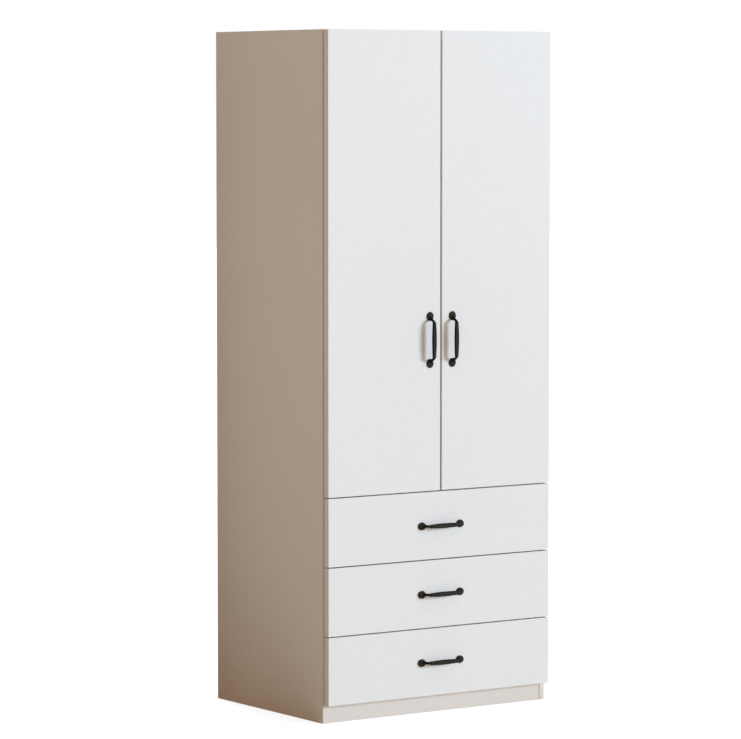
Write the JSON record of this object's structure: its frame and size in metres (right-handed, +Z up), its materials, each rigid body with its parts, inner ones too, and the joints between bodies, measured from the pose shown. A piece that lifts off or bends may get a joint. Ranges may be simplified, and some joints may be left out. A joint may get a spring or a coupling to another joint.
{
  "type": "wardrobe",
  "caption": "Tall white wardrobe with hinged doors over drawers on roller runners, black bow handles, a hat shelf and a hanging rail inside.",
  "frame": {"origin": "on the floor under the middle of the whole object's box", "axes": "+Z up, front faces -Y, +X to the right seen from the front"},
  "size_m": [0.8, 0.6226, 2],
  "materials": {
    "case_board": "warm white melamine on particle board, satin",
    "front_board": "cool white lacquered fibreboard, satin",
    "back_sheet": "white-faced hardboard, raw brown rear face",
    "drawer_box": "white foil-wrapped board",
    "joint_strip": "white extruded plastic",
    "handle_black": "satin black coated cast metal",
    "hinge_nickel": "nickel plated steel",
    "screw_zinc": "zinc plated steel",
    "rail_chrome": "polished chrome plate",
    "runner_white": "white epoxy coated steel",
    "roller_nylon": "natural nylon",
    "cam_zinc": "die-cast zinc",
    "dowel_beech": "raw beech",
    "bumper_clear": "translucent soft polymer"
  },
  "bodies": {
    "carcass": {"side_panel_left": "case_board", "side_panel_right": "case_board", "top_panel": "case_board", "middle_panel": "case_board", "bottom_panel": "case_board", "plinth_front": "case_board", "plinth_rear": "case_board", "back_panel_left": "back_sheet", "back_panel_right": "back_sheet", "back_joint_strip": "joint_strip", "hat_shelf": "case_board", "shelf_pins": "screw_zinc", "hanging_rail": "rail_chrome", "rail_holders": "rail_chrome", "wall_brackets": "screw_zinc", "cam_locks": "cam_zinc", "cam_bolts": "screw_zinc", "dowels": "dowel_beech", "hinge_plates": "hinge_nickel", "hinge_arms": "hinge_nickel", "cabinet_runners": "runner_white", "carcass_screws": "screw_zinc", "bumpers": "bumper_clear"},
    "left_door": {"left_door": "front_board", "left_hinge_cups": "hinge_nickel", "left_hinge_pins": "hinge_nickel", "left_door_handle": "handle_black", "left_door_screws": "screw_zinc"},
    "right_door": {"right_door": "front_board", "right_hinge_cups": "hinge_nickel", "right_hinge_pins": "hinge_nickel", "right_door_handle": "handle_black", "right_door_screws": "screw_zinc"},
    "drawer_1": {"drawer_1_front": "front_board", "drawer_1_sides": "drawer_box", "drawer_1_ends": "drawer_box", "drawer_1_bottom": "drawer_box", "drawer_1_handle": "handle_black", "drawer_1_screws": "screw_zinc", "drawer_1_runners": "runner_white"},
    "drawer_1_front_rollers": {"drawer_1_front_rollers": "roller_nylon"},
    "drawer_1_rear_rollers": {"drawer_1_rear_rollers": "roller_nylon"},
    "drawer_2": {"drawer_2_front": "front_board", "drawer_2_sides": "drawer_box", "drawer_2_ends": "drawer_box", "drawer_2_bottom": "drawer_box", "drawer_2_handle": "handle_black", "drawer_2_screws": "screw_zinc", "drawer_2_runners": "runner_white"},
    "drawer_2_front_rollers": {"drawer_2_front_rollers": "roller_nylon"},
    "drawer_2_rear_rollers": {"drawer_2_rear_rollers": "roller_nylon"},
    "drawer_3": {"drawer_3_front": "front_board", "drawer_3_sides": "drawer_box", "drawer_3_ends": "drawer_box", "drawer_3_bottom": "drawer_box", "drawer_3_handle": "handle_black", "drawer_3_screws": "screw_zinc", "drawer_3_runners": "runner_white"},
    "drawer_3_front_rollers": {"drawer_3_front_rollers": "roller_nylon"},
    "drawer_3_rear_rollers": {"drawer_3_rear_rollers": "roller_nylon"}
  },
  "joints": [
    {"name": "left_door_hinge", "type": "hinge", "parent": "carcass", "child": "left_door", "pos_m": [-0.39, -0.26975, 1.3285], "axis": [0, 0, -1], "range_deg": [0, 95]},
    {"name": "right_door_hinge", "type": "hinge", "parent": "carcass", "child": "right_door", "pos_m": [0.39, -0.26975, 1.3285], "axis": [0, 0, 1], "range_deg": [0, 95]},
    {"name": "drawer_1_slide", "type": "slide", "parent": "carcass", "child": "drawer_1", "axis": [0, -1, 0], "range_m": [0, 0.36]},
    {"name": "drawer_2_slide", "type": "slide", "parent": "carcass", "child": "drawer_2", "axis": [0, -1, 0], "range_m": [0, 0.36]},
    {"name": "drawer_3_slide", "type": "slide", "parent": "carcass", "child": "drawer_3", "axis": [0, -1, 0], "range_m": [0, 0.36]},
    {"name": "drawer_1_front_roller_spin", "type": "hinge", "parent": "carcass", "child": "drawer_1_front_rollers", "pos_m": [0, -0.24175, 0.10135], "axis": [1, 0, 0], "continuous": true},
    {"name": "drawer_1_rear_roller_spin", "type": "hinge", "parent": "drawer_1", "child": "drawer_1_rear_rollers", "pos_m": [0, 0.20525, 0.10105], "axis": [1, 0, 0], "continuous": true},
    {"name": "drawer_2_front_roller_spin", "type": "hinge", "parent": "carcass", "child": "drawer_2_front_rollers", "pos_m": [0, -0.24175, 0.30285], "axis": [1, 0, 0], "continuous": true},
    {"name": "drawer_2_rear_roller_spin", "type": "hinge", "parent": "drawer_2", "child": "drawer_2_rear_rollers", "pos_m": [0, 0.20525, 0.30255], "axis": [1, 0, 0], "continuous": true},
    {"name": "drawer_3_front_roller_spin", "type": "hinge", "parent": "carcass", "child": "drawer_3_front_rollers", "pos_m": [0, -0.24175, 0.50435], "axis": [1, 0, 0], "continuous": true},
    {"name": "drawer_3_rear_roller_spin", "type": "hinge", "parent": "drawer_3", "child": "drawer_3_rear_rollers", "pos_m": [0, 0.20525, 0.50405], "axis": [1, 0, 0], "continuous": true}
  ],
  "couplings": [
    {"joint": "drawer_1_front_roller_spin", "follows": "drawer_1_slide", "rad_per_m": 125},
    {"joint": "drawer_1_rear_roller_spin", "follows": "drawer_1_slide", "rad_per_m": 125},
    {"joint": "drawer_2_front_roller_spin", "follows": "drawer_2_slide", "rad_per_m": 125},
    {"joint": "drawer_2_rear_roller_spin", "follows": "drawer_2_slide", "rad_per_m": 125},
    {"joint": "drawer_3_front_roller_spin", "follows": "drawer_3_slide", "rad_per_m": 125},
    {"joint": "drawer_3_rear_roller_spin", "follows": "drawer_3_slide", "rad_per_m": 125}
  ]
}
